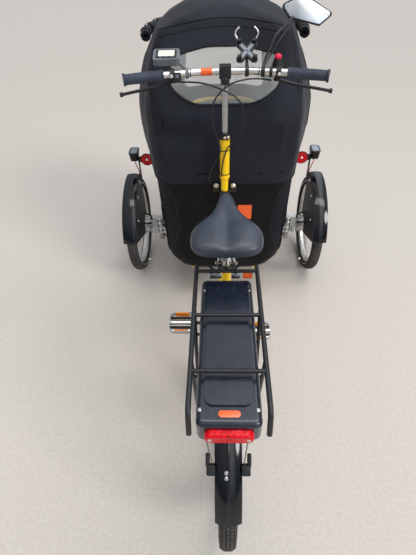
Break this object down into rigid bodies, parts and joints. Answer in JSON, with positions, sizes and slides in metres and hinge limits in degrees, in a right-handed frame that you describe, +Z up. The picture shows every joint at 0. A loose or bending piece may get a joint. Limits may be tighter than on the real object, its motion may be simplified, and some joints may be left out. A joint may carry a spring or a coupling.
{
  "type": "electric cargo tricycle",
  "caption": "Electric cargo tricycle: a hooded child tub between steered front wheels, and a bicycle rear end with saddle, rack, battery and hub motor.",
  "frame": {"origin": "on the ground, in the middle of the machine's length and width", "axes": "+X to the rider's right, +Y forward, +Z up"},
  "size_m": [1.006, 2.002, 1.2881],
  "materials": {
    "yellow_paint": "glossy yellow paint",
    "black_paint": "satin black paint",
    "tub_plastic": "dark navy moulded shell",
    "bench_board": "dark board",
    "clear_window": "clear flexible sheet",
    "canvas": "black canvas",
    "pad_fabric": "dark woven cover",
    "bright_aluminium": "brushed silver",
    "bracket_steel": "black, bright bolts",
    "saddle_cover": "satin dark grey cover",
    "battery_case": "satin black case",
    "red_lens": "red lens",
    "gloss_black": "glossy black",
    "wire_steel": "bright steel",
    "black_plastic": "black plastic",
    "display_plastic": "grey screen",
    "grip_rubber": "ribbed rubber",
    "tyre_rubber": "black tyre",
    "crank_metal": "black arms and ring",
    "pedal_metal": "silver cage, black blocks"
  },
  "bodies": {
    "body": {"tub_shell": "tub_plastic", "tub_windows": "clear_window", "hood": "canvas", "hood_windows": "clear_window", "hood_rolls": "canvas", "rim_ring": "yellow_paint", "hood_hoops": "bright_aluminium", "bench": "bench_board", "bench_pads": "pad_fabric", "main_frame": "yellow_paint", "under_frame": "yellow_paint", "front_axle": "wire_steel", "rear_triangle": "yellow_paint", "headset": "black_paint", "tub_bracket": "bracket_steel", "seat_post": "bright_aluminium", "saddle": "saddle_cover", "rack": "black_paint", "battery": "battery_case", "tail_light": "red_lens", "rear_mudguard": "gloss_black", "guard_stays": "wire_steel", "rear_axle": "wire_steel", "chain": "wire_steel"},
    "steering": {"steering_column": "wire_steel", "stem": "black_paint", "handlebar": "bright_aluminium", "grips": "grip_rubber", "brake_levers": "black_plastic", "display": "display_plastic", "phone_holder": "black_plastic", "horn": "black_plastic", "mirror": "black_plastic"},
    "left_knuckle": {"left_knuckle": "wire_steel", "left_mudguard": "gloss_black", "left_headlight": "black_plastic", "left_reflector": "red_lens"},
    "right_knuckle": {"right_knuckle": "wire_steel", "right_mudguard": "gloss_black", "right_headlight": "black_plastic", "right_reflector": "red_lens"},
    "left_tie_rod": {"left_tie_rod": "black_paint"},
    "right_tie_rod": {"right_tie_rod": "black_paint"},
    "front_left_wheel": {"front_left_tyre": "tyre_rubber", "front_left_rim": "bright_aluminium", "front_left_hub": "bright_aluminium", "front_left_spokes": "wire_steel"},
    "front_right_wheel": {"front_right_tyre": "tyre_rubber", "front_right_rim": "bright_aluminium", "front_right_hub": "bright_aluminium", "front_right_spokes": "wire_steel"},
    "rear_wheel": {"rear_tyre": "tyre_rubber", "rear_rim": "bright_aluminium", "rear_hub": "black_paint", "rear_spokes": "wire_steel"},
    "crank": {"crankset": "crank_metal"},
    "left_pedal": {"left_pedal": "pedal_metal"},
    "right_pedal": {"right_pedal": "pedal_metal"}
  },
  "joints": [
    {"name": "steering_turn", "type": "hinge", "parent": "body", "child": "steering", "pos_m": [0, 0.129, 0.5], "axis": [0, 0, 1], "range_deg": [-25, 25]},
    {"name": "left_knuckle_turn", "type": "hinge", "parent": "body", "child": "left_knuckle", "pos_m": [-0.345, 0.488, 0.25], "axis": [0, 0, 1], "range_deg": [-25, 25]},
    {"name": "right_knuckle_turn", "type": "hinge", "parent": "body", "child": "right_knuckle", "pos_m": [0.345, 0.488, 0.25], "axis": [0, 0, 1], "range_deg": [-25, 25]},
    {"name": "left_rod_turn", "type": "hinge", "parent": "steering", "child": "left_tie_rod", "pos_m": [-0.02, 0.199, 0.146], "axis": [0, 0, 1], "range_deg": [-25, 25]},
    {"name": "right_rod_turn", "type": "hinge", "parent": "steering", "child": "right_tie_rod", "pos_m": [0.02, 0.199, 0.146], "axis": [0, 0, 1], "range_deg": [-25, 25]},
    {"name": "front_left_wheel_spin", "type": "hinge", "parent": "left_knuckle", "child": "front_left_wheel", "pos_m": [-0.4585, 0.488, 0.25], "axis": [1, 0, 0], "continuous": true},
    {"name": "front_right_wheel_spin", "type": "hinge", "parent": "right_knuckle", "child": "front_right_wheel", "pos_m": [0.4585, 0.488, 0.25], "axis": [1, 0, 0], "continuous": true},
    {"name": "rear_wheel_spin", "type": "hinge", "parent": "body", "child": "rear_wheel", "pos_m": [0, -0.671, 0.33], "axis": [1, 0, 0], "continuous": true},
    {"name": "crank_spin", "type": "hinge", "parent": "body", "child": "crank", "pos_m": [0, -0.261, 0.2975], "axis": [1, 0, 0], "continuous": true},
    {"name": "left_pedal_spin", "type": "hinge", "parent": "crank", "child": "left_pedal", "pos_m": [-0.155, -0.35359, 0.44007], "axis": [1, 0, 0], "continuous": true},
    {"name": "right_pedal_spin", "type": "hinge", "parent": "crank", "child": "right_pedal", "pos_m": [0.155, -0.16841, 0.15493], "axis": [1, 0, 0], "continuous": true}
  ],
  "couplings": [
    {"joint": "left_knuckle_turn", "follows": "steering_turn", "ratio": 1},
    {"joint": "right_knuckle_turn", "follows": "steering_turn", "ratio": 1},
    {"joint": "left_rod_turn", "follows": "steering_turn", "ratio": -1},
    {"joint": "right_rod_turn", "follows": "steering_turn", "ratio": -1}
  ]
}
